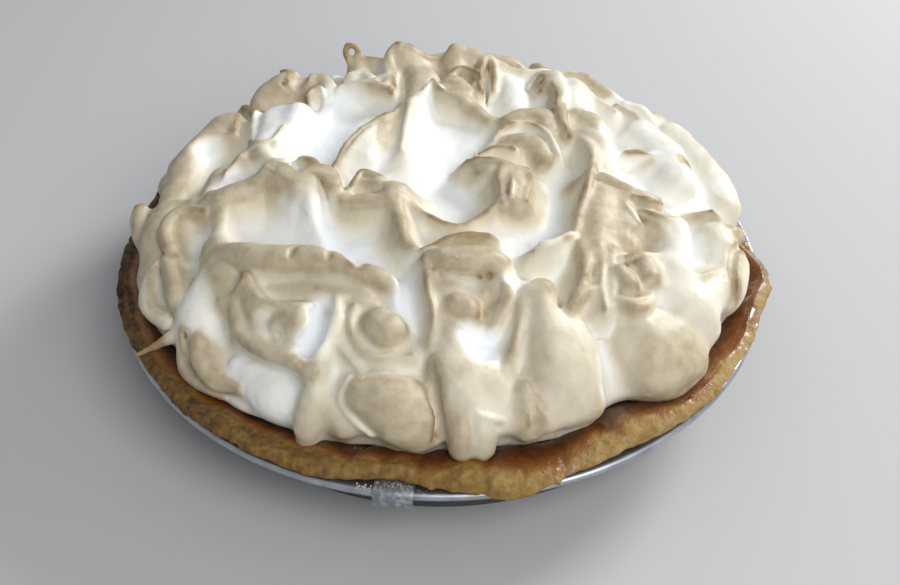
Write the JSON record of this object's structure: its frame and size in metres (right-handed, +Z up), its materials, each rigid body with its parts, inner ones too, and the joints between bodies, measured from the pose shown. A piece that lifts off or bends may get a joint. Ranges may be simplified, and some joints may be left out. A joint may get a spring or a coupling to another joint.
{
  "type": "key lime meringue pie",
  "caption": "Whole round lime pie in its shallow metal tin: uneven pastry edge under a tall heap of toasted, swirled meringue.",
  "frame": {"origin": "centre of the tin's flat underside", "axes": "+Z up out of the tin, -Y towards the front with the metal tab, +X to the right"},
  "size_m": [0.2443, 0.2438, 0.0767],
  "materials": {
    "tin_metal": "dull, lightly worn",
    "tab_metal": "dull, dusted with flour",
    "pastry": "baked golden brown, crumbly, syrup-stained",
    "meringue": "soft white, toasted tan on the ridges",
    "syrup": "thin glossy brown syrup"
  },
  "bodies": {
    "root": {"tin": "tin_metal", "rim_tab": "tab_metal", "crust": "pastry", "meringue": "meringue"}
  },
  "joints": []
}
